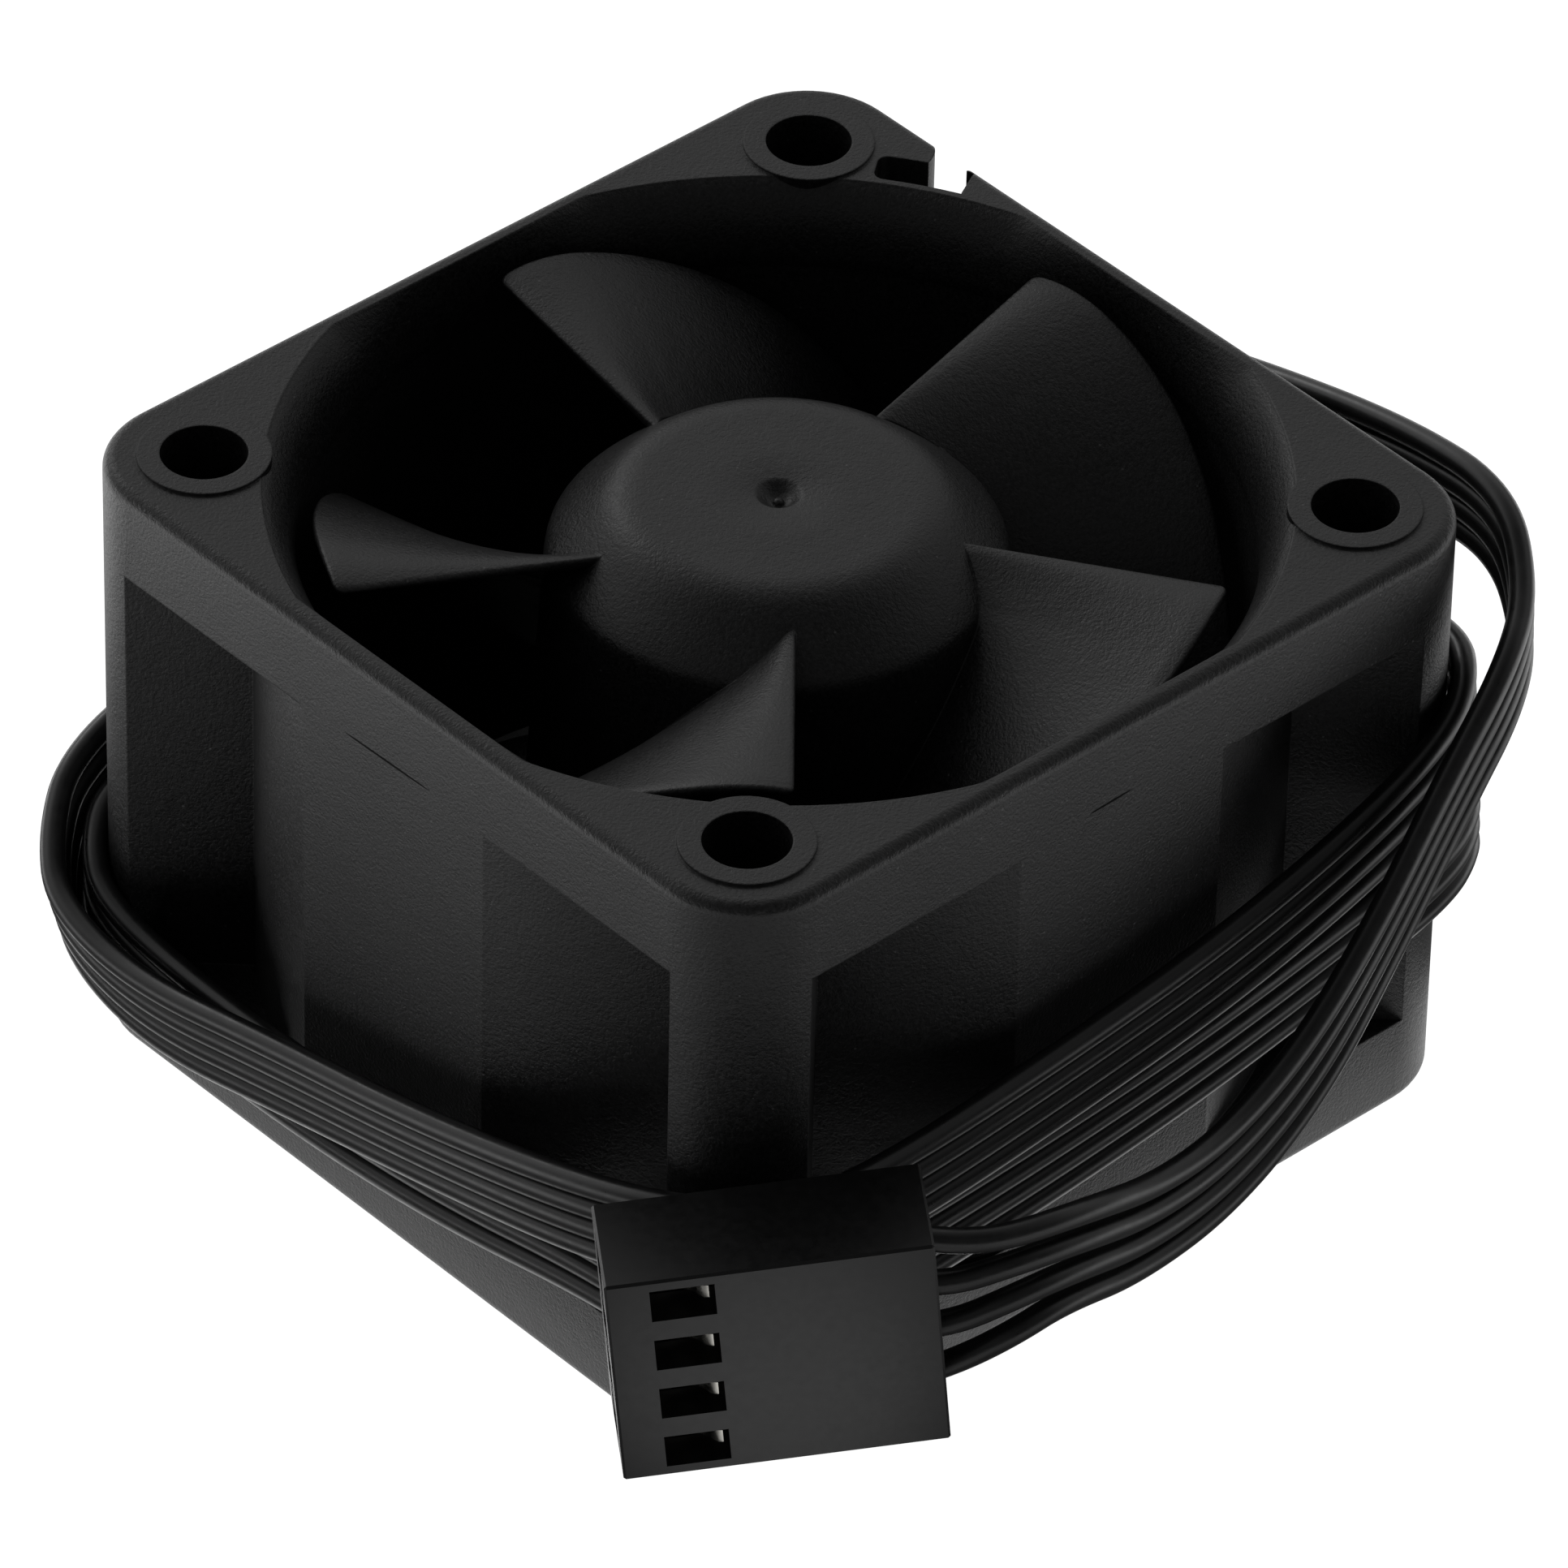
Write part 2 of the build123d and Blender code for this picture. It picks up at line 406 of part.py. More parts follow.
def tube(pts, d):
    """Straight runs joined by tangent arcs, as large as the runs allow."""
    vs = [Vector(*p) for p in pts]
    radii, turns = [], []
    for a, b, c in zip(vs, vs[1:], vs[2:]):
        turn = math.radians((b - a).get_angle(c - b))
        turns.append(math.degrees(turn))
        radii.append(0.45 * min((b - a).length, (c - b).length) / math.tan(turn / 2))
    path = FilletPolyline(*vs, radius=radii)
    start = Plane(origin=vs[0], z_dir=vs[1] - vs[0])
    solid = sweep(start * Circle(d / 2), path=path).solid()
    print("radii min %.2f  max turn %.1f  length %.1f  volume / (section x length) %.4f" % (
        min(radii), max(turns), path.length, solid.volume / (math.pi * d * d / 4 * path.length)))
    print("  radii", " ".join("%.1f" % r for r in radii))
    return solid


wires = []
for k in range(4):
    w = tube(wire_points(k), WIRE_D)
    wires.append(w)
    node("wire_%d" % (k + 1), w)

# solder joints: a tinned tail from each wire's end and its blob on the board's edge
ex = (math.cos(math.radians(EXIT_AZ)), math.sin(math.radians(EXIT_AZ)))
joints = []
for k in range(4):
    p = wire_points(k)
    start = Vector(*p[0])
    zt = 2.83 + (k - 1.5) * 0.2
    end = Vector(PCB_R * ex[0] + 0.02 * ex[0], PCB_R * ex[1] + 0.02 * ex[1], zt)
    seg = end - start
    pl = Plane(origin=start, z_dir=seg)
    joints.append(pl * Cylinder(0.09, seg.length, align=(Align.CENTER, Align.CENTER, Align.MIN)))
blob = Rot(0, 0, EXIT_AZ) * block(PCB_R + 0.02, PCB_R + 0.55, -0.6, 0.6, PCB_Z0 + 0.02, PCB_Z1 - 0.02)
joint = blob
for j in joints:
    joint = joint + j
node("lead_solder_joints", joint)

# ================================================================ socket
conn_plane = Plane(origin=CONN_O, x_dir=CX, z_dir=CZ)
shell = Pos(CONN_L / 2, CONN_D / 2, CONN_P / 2) * Box(CONN_L, CONN_D, CONN_P)
shell = chamfer(shell.edges(), 0.1)
terms = []
for k in range(4):
    zc = CONN_P / 2 + (k - 1.5) * PIN_PITCH
    shell -= block(-1, 8.5, 2.4 - 0.85, 2.4 + 0.85, zc - 0.95, zc + 0.95)
    shell -= block(8.4, 14, 2.4 - 0.85, 2.4 + 0.85, zc - 0.95, zc + 0.95)
    flare = [(10.6, zc - 0.95), (CONN_L + 0.01, zc - 1.12), (CONN_L + 0.01, zc + 1.12), (10.6, zc + 0.95)]
    face = make_face(Polyline(*[(x, 1.55, z) for x, z in flare], close=True))
    shell -= extrude(face, amount=1.7, dir=(0, 1, 0))
    shell -= block(1.7, 4.2, -1, 2.0, zc - 0.78, zc + 0.78)       # window over the locking lance
    shell -= block(-0.1, 0.35, 2.4 - 1.05, 2.4 + 1.05, zc - 1.1, zc + 1.1)
    box = block(1.0, 7.2, 2.4 - 0.75, 2.4 + 0.75, zc - 0.8, zc + 0.8)
    box -= block(0.9, 7.0, 2.4 - 0.55, 2.4 + 0.55, zc - 0.6, zc + 0.6)
    box -= block(1.9, 3.7, 1.0, 2.0, zc - 0.45, zc + 0.45)         # opening under the window
    lance = Pos(3.3, 1.55, zc) * Rot(0, 0, -14) * Box(1.2, 0.16, 0.7)
    spring = block(2.2, 6.9, 2.4 + 0.12, 2.4 + 0.3, zc - 0.4, zc + 0.4) + block(6.3, 7.0, 2.4 + 0.12, 2.4 + 0.56, zc - 0.4, zc + 0.4)
    barrel = Pos(7.1, 2.4, zc) * Rot(0, 90, 0) * Cylinder(0.52, 2.65, align=(Align.CENTER, Align.CENTER, Align.MIN))
    terms.append((box + lance + spring + barrel).solids().sort_by(SortBy.VOLUME)[-1])
node("connector_housing", conn_plane.location * shell.solids().sort_by(SortBy.VOLUME)[-1])
node("crimp_terminals", Compound(children=[conn_plane.location * t for t in terms]))

print("nodes", len(nodes))
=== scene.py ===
import json
import math

import bmesh
import bpy
from mathutils import Matrix, Vector, noise


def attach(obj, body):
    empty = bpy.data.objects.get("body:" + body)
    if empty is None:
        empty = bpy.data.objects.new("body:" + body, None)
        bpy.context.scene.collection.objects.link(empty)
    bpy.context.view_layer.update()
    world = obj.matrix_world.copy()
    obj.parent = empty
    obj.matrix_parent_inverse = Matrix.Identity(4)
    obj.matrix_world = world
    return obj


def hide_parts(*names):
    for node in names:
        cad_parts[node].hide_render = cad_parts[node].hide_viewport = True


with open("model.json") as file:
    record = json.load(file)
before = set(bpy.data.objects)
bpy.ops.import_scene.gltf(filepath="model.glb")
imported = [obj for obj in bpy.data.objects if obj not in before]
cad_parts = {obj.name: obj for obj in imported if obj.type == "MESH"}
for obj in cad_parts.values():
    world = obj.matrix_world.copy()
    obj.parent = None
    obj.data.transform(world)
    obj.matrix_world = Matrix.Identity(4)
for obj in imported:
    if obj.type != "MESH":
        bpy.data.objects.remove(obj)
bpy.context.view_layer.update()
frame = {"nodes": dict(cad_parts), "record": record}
NODES = frame["nodes"]
MM = 0.001


def mm(*p):
    return Vector(p) * MM


def link(obj):
    bpy.context.scene.collection.objects.link(obj)
    return obj


# ---------------------------------------------------------------- camera
def camera():
    az, el, roll = math.radians(47.2416), math.radians(38.6404), math.radians(1.2894)
    back = Vector((math.sin(az) * math.cos(el), -math.cos(az) * math.cos(el), math.sin(el)))
    right = Vector((0, 0, 1)).cross(back).normalized()
    up = back.cross(right)
    r2 = right * math.cos(roll) + up * math.sin(roll)
    u2 = up * math.cos(roll) - right * math.sin(roll)
    cam = bpy.data.cameras.new("camera")
    cam.lens = 319.927
    cam.sensor_width = 36.0
    cam.sensor_fit = "HORIZONTAL"
    cam.clip_start, cam.clip_end = 0.05, 20.0
    ob = link(bpy.data.objects.new("camera", cam))
    m = Matrix((r2, u2, back)).transposed().to_4x4()
    m.translation = mm(319.39, -294.69, 360.10)
    ob.matrix_world = m
    bpy.context.scene.camera = ob


camera()

# ---------------------------------------------------------------- lead: four wires, the route of part.py
WIRE_D = 1.04
WIRE_PITCH = 1.08
PIN_PITCH = 2.54
CONN_L, CONN_D, CONN_P = 12.67, 4.8, 10.16
RIBBON = [
    (-4.90, 9.17, 2.83, 0.0, 1.00), (-6.08, 11.38, 2.85, 0.0, 1.00), (-7.63, 14.29, 2.81, 0.0, 1.00),
    (-9.14, 17.11, 2.84, 0.0, 1.00), (-10.42, 19.52, 2.83, 0.0, 1.00), (-11.30, 21.30, 2.83, 0.0, 1.00),
    (-11.22, 23.45, 2.85, 0.0, 1.00), (-9.98, 25.27, 2.90, 0.0, 1.00), (-7.90, 26.17, 3.05, 0.0, 1.00),
    (-4.80, 26.02, 3.45, 0.0, 1.00), (0.20, 25.15, 4.45, 0.0, 1.00), (5.20, 24.00, 6.00, 0.0, 1.00),
    (9.70, 22.95, 7.95, 0.0, 1.00), (13.60, 22.15, 9.90, 0.0, 1.00), (17.38, 21.60, 11.75, -1.0, 1.00),
    (19.72, 19.72, 12.45, 1.2, 1.00), (20.92, 17.00, 12.12, 3.4, 1.00), (20.89, 12.20, 10.98, 3.6, 1.00),
    (20.83, 4.20, 9.41, 2.6, 1.00), (20.79, -4.20, 8.54, 0.7, 1.00), (20.76, -12.20, 8.11, -0.2, 1.00),
    (20.73, -17.27, 8.08, -0.2, 1.00), (19.45, -19.45, 8.09, 0.0, 1.00), (17.25, -20.66, 7.98, 0.3, 1.00),
    (12.20, -20.66, 7.55, 0.3, 1.00), (4.20, -20.83, 5.98, -0.1, 1.00), (-4.20, -20.79, 5.00, 0.1, 1.00),
    (-12.20, -20.82, 4.96, -0.5, 1.00), (-17.25, -20.66, 5.69, -1.0, 1.00), (-19.31, -19.31, 6.66, -1.3, 1.00),
    (-20.71, -17.26, 7.45, -0.5, 1.00), (-20.89, -12.20, 8.02, 0.1, 1.00), (-20.96, -4.20, 8.57, 0.2, 1.00),
    (-20.91, 4.20, 9.04, 0.1, 1.00), (-20.77, 12.20, 9.70, 0.0, 1.00), (-20.67, 17.25, 10.22, 0.0, 1.00),
    (-19.42, 19.42, 10.71, 0.0, 1.00), (-17.26, 20.70, 11.43, 0.0, 1.00), (-12.20, 20.86, 12.50, 0.0, 1.00),
    (-4.20, 21.08, 14.10, 0.2, 1.00), (4.20, 21.21, 15.85, 0.4, 1.00), (12.20, 21.17, 17.40, 0.6, 1.00),
    (17.33, 20.97, 18.15, 0.0, 1.00), (19.42, 19.42, 18.20, -1.4, 1.00), (20.85, 17.10, 17.50, -1.6, 1.00),
    (21.57, 12.20, 16.28, 1.3, 1.00), (21.72, 4.20, 14.37, 2.7, 1.00), (21.66, -4.20, 13.22, 3.1, 1.00),
    (21.79, -12.20, 12.67, 2.7, 1.00), (21.64, -17.51, 12.72, 1.1, 1.00), (19.99, -19.99, 12.68, 0.1, 1.00),
    (17.48, -21.53, 12.21, 2.7, 1.00), (12.20, -22.20, 10.83, 7.3, 1.00), (4.20, -22.17, 8.68, 12.8, 1.00),
    (-4.20, -22.20, 6.96, 11.1, 1.00), (-12.00, -22.64, 5.60, 11.4, 1.00), (-17.64, -22.13, 6.11, 15.5, 1.00),
    (-20.27, -20.27, 7.27, 9.7, 1.00), (-22.08, -17.63, 8.61, 5.8, 1.00), (-22.46, -12.20, 9.85, 4.5, 1.00),
    (-22.48, -4.20, 11.13, 2.1, 1.00), (-22.26, 4.20, 12.19, 0.2, 1.00), (-22.07, 12.20, 13.33, 0.1, 1.00),
    (-21.96, 17.60, 14.14, 0.0, 1.00), (-20.38, 20.38, 15.01, 0.0, 1.00), (-17.63, 22.10, 16.19, 0.1, 1.00),
    (-12.20, 22.33, 17.70, 0.3, 1.00), (-4.20, 22.68, 20.23, 0.6, 1.00), (4.20, 22.97, 22.50, 0.7, 1.00),
    (12.20, 23.00, 24.30, 0.2, 1.00), (17.76, 22.58, 24.95, -1.1, 1.00), (20.91, 20.90, 23.06, -2.1, 1.00),
    (23.04, 17.97, 22.11, 1.5, 1.00), (23.96, 14.20, 19.26, 6.1, 1.04), (25.13, 9.60, 15.33, 6.6, 1.07),
    (26.29, 4.70, 11.92, 2.6, 1.14), (27.20, -0.50, 10.26, 1.0, 1.18), (27.95, -5.60, 10.52, 3.5, 1.27),
    (28.70, -10.20, 12.19, 4.8, 1.38),
]
STATIONS = [(15.6, 2.55), (13.5, 2.40), (11.4, 2.40), (9.75, 2.40)]
OFFSETS = [[1.50, 0.77, -0.03, -1.15], [0.62, 0.08, -0.43, -0.86], [0.05, 0.0, -0.1, -0.12], [0.0, 0.0, 0.0, 0.0]]
CONN_O = Vector((21.50, -26.78, 5.43))
CONN_UP = Vector((-0.025, -0.093, 0.995)).normalized()
CONN_AX = Vector((0.58, 0.81, 0.09))
CONN_AX = (CONN_AX - CONN_UP * CONN_AX.dot(CONN_UP)).normalized()
CONN_IN = CONN_UP.cross(CONN_AX)


def conn(x, y, z):
    """Socket frame: x from the mating end to the wire end, y into the body, z up, in millimetres."""
    return CONN_O + CONN_AX * x + CONN_IN * y + CONN_UP * z


def wire_points(k):
    pts = []
    last = len(RIBBON) - 1
    for i, (x, y, z, lean, spread) in enumerate(RIBBON):
        a = Vector(RIBBON[max(0, i - 1)][:3])
        b = conn(STATIONS[0][0], 2.5, 4.7) if i == last else Vector(RIBBON[i + 1][:3])
        run = (b - a).normalized()
        up = (Vector((0, 0, 1)) - run * run.z).normalized()
        out = up.cross(run)
        t = math.radians(lean)
        pts.append(Vector((x, y, z)) + (up * math.cos(t) + out * math.sin(t)) * ((k - 1.5) * WIRE_PITCH * spread))
    for (xl, yl), offs in zip(STATIONS, OFFSETS):
        pts.append(conn(xl, yl, CONN_P / 2 + (k - 1.5) * PIN_PITCH + offs[k]))
    return pts


wires = []
for k in range(4):
    pts = wire_points(k)
    cu = bpy.data.curves.new("lead_wire_%d" % (k + 1), "CURVE")
    cu.dimensions = "3D"
    sp = cu.splines.new("NURBS")
    sp.points.add(len(pts) - 1)
    for p, q in zip(sp.points, pts):
        p.co = (q.x * MM, q.y * MM, q.z * MM, 1.0)
        p.radius = WIRE_D / 2 * MM
    sp.order_u = 3
    sp.use_endpoint_u = True
    sp.resolution_u = 10
    sp.use_smooth = True
    cu.bevel_depth = 1.0                      # times each point's radius
    cu.bevel_resolution = 7
    cu.use_fill_caps = True
    ob = link(bpy.data.objects.new("lead_wire_%d" % (k + 1), cu))
    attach(ob, "root")
    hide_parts("wire_%d" % (k + 1))
    wires.append(ob)


# ---------------------------------------------------------------- impeller: the same tables as part.py, with rounded edges
def table(rows, d):
    n = len(rows)
    k = 0
    for i in range(n - 1):
        if d >= rows[i][0]:
            k = i

    def slope(i):
        a, b = max(0, i - 1), min(n - 1, i + 1)
        return (rows[b][1] - rows[a][1]) / (rows[b][0] - rows[a][0])

    (x0, y0), (x1, y1) = rows[k], rows[k + 1]
    h = x1 - x0
    t = (d - x0) / h
    return ((2 * t ** 3 - 3 * t * t + 1) * y0 + (t ** 3 - 2 * t * t + t) * h * slope(k)
            + (3 * t * t - 2 * t ** 3) * y1 + (t ** 3 - t * t) * h * slope(k + 1)), (y1 - y0) / h


TIP_Z = [(0, 26.95), (3, 27.12), (7, 27.12), (12, 26.85), (20, 26.0), (30, 24.45), (40, 22.15), (50, 18.6), (60, 14.3), (70, 10.5)]
ROOT_Z = [(0, 26.3), (4, 26.15), (10, 25.55), (17, 24.7), (25, 23.4), (33, 21.85), (42, 20.0), (55, 17.1), (66, 14.5), (79, 11.6)]
BLADE_TIP_R, BLADE_AZ0, BLADE_SPAN, BLADE_LEAN = 18.3, 32.0, 70.0, 3.6
HUB_PROFILE = [
    (0.0, 27.02), (0.11, 27.0), (0.19, 26.94), (0.23, 26.84), (0.26, 26.79), (0.36, 26.80), (0.60, 26.99), (0.84, 27.21), (0.92, 27.27), (1.02, 27.30),
    (3.0, 27.30), (5.0, 27.30), (5.35, 27.298), (5.65, 27.285), (6.0, 27.235), (6.35, 27.13), (6.7, 26.95), (7.05, 26.69), (7.4, 26.39), (7.7, 26.12),
    (8.0, 25.85), (8.3, 25.575), (8.6, 25.29), (8.85, 25.03), (9.02, 24.83), (9.12, 24.66), (9.18, 24.45), (9.22, 24.1),
    (9.5, 19.3), (9.8, 14.2), (10.1, 9.0), (10.18, 7.85), (10.15, 7.68), (10.05, 7.6),
    (8.72, 7.6), (8.68, 7.65), (8.68, 23.9), (7.9, 24.8), (6.6, 25.8), (3.2, 25.8), (3.2, 23.62), (2.2, 23.62), (2.2, 25.2), (1.0, 25.2), (1.0, 26.3), (0.0, 26.3)]


def grid_faces(bm, rings, close_u=True, caps=True):
    """Skin a list of equal vertex loops."""
    n = len(rings[0])
    for a, b in zip(rings, rings[1:]):
        for j in range(n if close_u else n - 1):
            q = (a[j], a[(j + 1) % n], b[(j + 1) % n], b[j])
            bm.faces.new(q)
    if caps:
        bm.faces.new(list(reversed(rings[0])))
        bm.faces.new(rings[-1])


def make_impeller():
    bm = bmesh.new()
    seg = 180
    cols = []
    top = bm.verts.new(mm(0, 0, HUB_PROFILE[0][1]))
    low = bm.verts.new(mm(0, 0, HUB_PROFILE[-1][1]))
    for i in range(seg):
        a = 2 * math.pi * i / seg
        cols.append([bm.verts.new(mm(r * math.cos(a), r * math.sin(a), z)) for r, z in HUB_PROFILE[1:-1]])
    for i in range(seg):
        a, b = cols[i], cols[(i + 1) % seg]
        bm.faces.new((top, a[0], b[0]))
        for j in range(len(a) - 1):
            bm.faces.new((a[j], a[j + 1], b[j + 1], b[j]))
        bm.faces.new((a[-1], low, b[-1]))
    steps = [0.0, 0.03, 0.12, 0.27, 0.48, 0.72, 1.0] + [1.5 + 0.75 * i for i in range(90)]
    steps = [d for d in steps if d < 69.0] + [69.0, 69.3, 69.55, 69.75, 69.9, 69.97, 70.0]
    for k in range(5):
        az0 = BLADE_AZ0 + 72 * k
        rings = []
        for d in steps:
            f = 1.0
            if d < 1.0:
                f = math.sqrt(max(0.0, 1 - (1 - d) ** 2))
            elif d > 69.0:
                f = math.sqrt(max(0.0, 1 - (d - 69.0) ** 2))
            f = max(f, 0.02)
            dr = d * (1 + 0.12 * (d / BLADE_SPAN) ** 2)
            zt, st = table(TIP_Z, d)
            zr, sr = table(ROOT_Z, dr)
            th_r = 0.50 + 0.30 * min(1.0, d / 15.0)
            th_t = 0.30 + 0.22 * min(1.0, d / 15.0)
            if d > 58:
                th_r -= 0.30 * (d - 58) / 12.0
                th_t -= 0.12 * (d - 58) / 12.0
            vr = th_r * math.sqrt(1 + (sr * 180 / math.pi / 9.3) ** 2)
            vt = th_t * math.sqrt(1 + (st * 180 / math.pi / BLADE_TIP_R) ** 2)
            r_in = 7.3 + 1.65 * min(1.0, d / 15.0)
            r_tip = BLADE_TIP_R
            if d < 1.6:
                r_tip -= 0.40 * (1 - math.sqrt(1 - (1 - d / 1.6) ** 2))
            if d > 66.5:
                r_tip -= 1.10 * (1 - math.sqrt(max(0.0, 1 - ((d - 66.5) / 3.5) ** 2)))
            ai, at = math.radians(az0 + BLADE_LEAN - dr), math.radians(az0 - d)
            pi_ = Vector((r_in * math.cos(ai), r_in * math.sin(ai)))
            po = Vector((r_tip * math.cos(at), r_tip * math.sin(at)))
            span = (po - pi_).length
            e = 0.16 / span
            along = [i / 14 * (1 - e) for i in range(15)] + [1 - e + e * math.sin(math.radians(q)) for q in (25, 50, 70, 83)]
            up, dn = [], []
            for q in along:
                x = pi_ + (po - pi_) * q
                g = 1.0 if q <= 1 - e else math.sqrt(max(0.0, 1 - ((q - 1 + e) / e) ** 2))
                v = (vr + (vt - vr) * q) / 2
                mid = zr + (zt - zr) * q - v
                h = v * f * g
                up.append((x.x, x.y, mid + h))
                dn.append((x.x, x.y, mid - h))
            v = vt / 2
            tip = [(po.x, po.y, zt - v)]
            rings.append([bm.verts.new(mm(*p)) for p in up + tip + list(reversed(dn))])
        grid_faces(bm, rings)
    bmesh.ops.recalc_face_normals(bm, faces=bm.faces[:])
    me = bpy.data.meshes.new("impeller_skin")
    bm.to_mesh(me)
    bm.free()
    me.shade_smooth()
    me.set_sharp_from_angle(angle=math.radians(50))
    ob = link(bpy.data.objects.new("impeller_skin", me))
    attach(ob, "rotor")
    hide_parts("impeller")
    return ob


impeller = make_impeller()


# ---------------------------------------------------------------- intake mouth: blended skin over the flared edge
def make_mouth():
    face_z, depth = 27.88, 3.7
    profile = [(0.0, 0.995), (0.05, 0.95), (0.12, 0.88), (0.23, 0.78), (0.45, 0.635), (0.78, 0.46), (1.1, 0.32), (1.48, 0.195), (1.9, 0.10),
               (2.38, 0.03), (2.9, -0.01), (3.48, -0.03)]
    bm = bmesh.new()
    seg = 360
    cols = []
    for i in range(seg):
        a = 2 * math.pi * i / seg
        q = (a + math.pi / 4) % (math.pi / 2) - math.pi / 4
        r_top = min(20.35, 19.2 / math.cos(q))
        c, sn = math.cos(a), math.sin(a)
        col = [bm.verts.new(mm(r * c, r * sn, z)) for r, z in [(19.0 + (r_top - 19.0) * g, face_z - h) for h, g in profile]]
        col += [bm.verts.new(mm(r * c, r * sn, z)) for r, z in [(19.0 + 0.1, face_z - depth), (r_top + 0.12, face_z - 1.2), (r_top + 0.10, face_z - 0.05)]]
        cols.append(col)
    n = len(cols[0])
    for i in range(seg):
        a, b = cols[i], cols[(i + 1) % seg]
        for j in range(n):
            bm.faces.new((a[j], a[(j + 1) % n], b[(j + 1) % n], b[j]))
    bmesh.ops.recalc_face_normals(bm, faces=bm.faces[:])
    me = bpy.data.meshes.new("intake_mouth")
    bm.to_mesh(me)
    bm.free()
    me.shade_smooth()
    me.set_sharp_from_angle(angle=math.radians(50))
    ob = link(bpy.data.objects.new("intake_mouth", me))
    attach(ob, "root")
    return ob


mouth = make_mouth()


# ---------------------------------------------------------------- free ends of the terminals' locking lances, in the windows
def make_lances():
    bm = bmesh.new()
    for k in range(4):
        z0 = CONN_P / 2 + (k - 1.5) * PIN_PITCH
        row = [(2.55, 1.30), (2.90, 1.20), (3.25, 1.02), (3.50, 0.80), (3.62, 0.62), (3.80, 0.50), (3.98, 0.47)]
        cols = []
        for x, y in row:
            w = 0.30
            cols.append([bm.verts.new(MM * conn(x, y + dy, z0 + dz)) for dy, dz in ((0.0, -w), (0.0, w), (0.12, w), (0.12, -w))])
        for a, b in zip(cols, cols[1:]):
            for j in range(4):
                bm.faces.new((a[j], a[(j + 1) % 4], b[(j + 1) % 4], b[j]))
        bm.faces.new(cols[0][::-1])
        bm.faces.new(cols[-1])
    bmesh.ops.recalc_face_normals(bm, faces=bm.faces[:])
    me = bpy.data.meshes.new("locking_lances")
    bm.to_mesh(me)
    bm.free()
    me.shade_smooth()
    me.set_sharp_from_angle(angle=math.radians(40))
    ob = link(bpy.data.objects.new("locking_lances", me))
    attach(ob, "root")
    return ob


lances = make_lances()


# ---------------------------------------------------------------- two hair-thin witness lines under the upper flange, as near-black slivers whose darkness is painted shade of the line's groove
def make_witness_shade_slivers():
    bm = bmesh.new()
    for a, b, nrm in [((-2.82, -20.0, 23.97), (2.23, -20.0, 24.09), (0, -1, 0)), ((20.0, -1.77, 24.24), (20.0, 0.45, 24.32), (1, 0, 0))]:
        a, b, nrm = Vector(a), Vector(b), Vector(nrm)
        across = (b - a).normalized().cross(nrm)
        rows = []
        for t, w in ((0.0, 0.006), (0.12, 0.045), (0.6, 0.055), (0.9, 0.035), (1.0, 0.006)):
            p = a.lerp(b, t)
            rows.append([bm.verts.new((p + across * u + nrm * h) * MM) for u, h in ((-w, 0.003), (w, 0.003), (w, -0.02), (-w, -0.02))])
        for r, q in zip(rows, rows[1:]):
            for j in range(4):
                bm.faces.new((r[j], r[(j + 1) % 4], q[(j + 1) % 4], q[j]))
        bm.faces.new(rows[0][::-1])
        bm.faces.new(rows[-1])
    bmesh.ops.recalc_face_normals(bm, faces=bm.faces[:])
    me = bpy.data.meshes.new("witness_lines_painted_shade")
    bm.to_mesh(me)
    bm.free()
    ob = link(bpy.data.objects.new("witness_lines_painted_shade", me))
    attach(ob, "root")
    return ob


witness_shade_slivers = make_witness_shade_slivers()


# ---------------------------------------------------------------- materials
def new_mat(name):
    m = bpy.data.materials.new(name)
    m.use_nodes = True
    nt = m.node_tree
    nt.nodes.clear()
    out = nt.nodes.new("ShaderNodeOutputMaterial")
    bs = nt.nodes.new("ShaderNodeBsdfPrincipled")
    nt.links.new(bs.outputs[0], out.inputs[0])
    tc = nt.nodes.new("ShaderNodeTexCoord")
    return m, nt, bs, tc


def nz(nt, vec, scale, detail=3.0, rough=0.55, dist=0.0):
    n = nt.nodes.new("ShaderNodeTexNoise")
    n.inputs["Scale"].default_value = scale
    n.inputs["Detail"].default_value = detail
    n.inputs["Roughness"].default_value = rough
    n.inputs["Distortion"].default_value = dist
    nt.links.new(vec, n.inputs["Vector"])
    return n.outputs[0]


def ramp(nt, fac, stops):
    r = nt.nodes.new("ShaderNodeValToRGB")
    e = r.color_ramp.elements
    e[0].position, e[0].color = stops[0][0], (*stops[0][1], 1)
    e[1].position, e[1].color = stops[1][0], (*stops[1][1], 1)
    for p, c in stops[2:]:
        x = e.new(p)
        x.color = (*c, 1)
    nt.links.new(fac, r.inputs[0])
    return r.outputs[0]


def mix(nt, fac, a, b, mode="MIX"):
    m = nt.nodes.new("ShaderNodeMix")
    m.data_type = "RGBA"
    m.blend_type = mode
    for sock, v in ((m.inputs[0], fac), (m.inputs[6], a), (m.inputs[7], b)):
        if isinstance(v, bpy.types.NodeSocket):
            nt.links.new(v, sock)
        elif isinstance(v, (int, float)):
            sock.default_value = v
        else:
            sock.default_value = (*v, 1)
    return m.outputs[2]


def mapr(nt, fac, a, b, lo, hi):
    m = nt.nodes.new("ShaderNodeMapRange")
    m.inputs[1].default_value, m.inputs[2].default_value = a, b
    m.inputs[3].default_value, m.inputs[4].default_value = lo, hi
    nt.links.new(fac, m.inputs[0])
    return m.outputs[0]


def bump(nt, bs, height, strength, distance, prev=None):
    b = nt.nodes.new("ShaderNodeBump")
    b.inputs["Strength"].default_value = strength
    b.inputs["Distance"].default_value = distance
    nt.links.new(height, b.inputs["Height"])
    if prev is not None:
        nt.links.new(prev, b.inputs["Normal"])
    nt.links.new(b.outputs[0], bs.inputs["Normal"])
    return b.outputs[0]


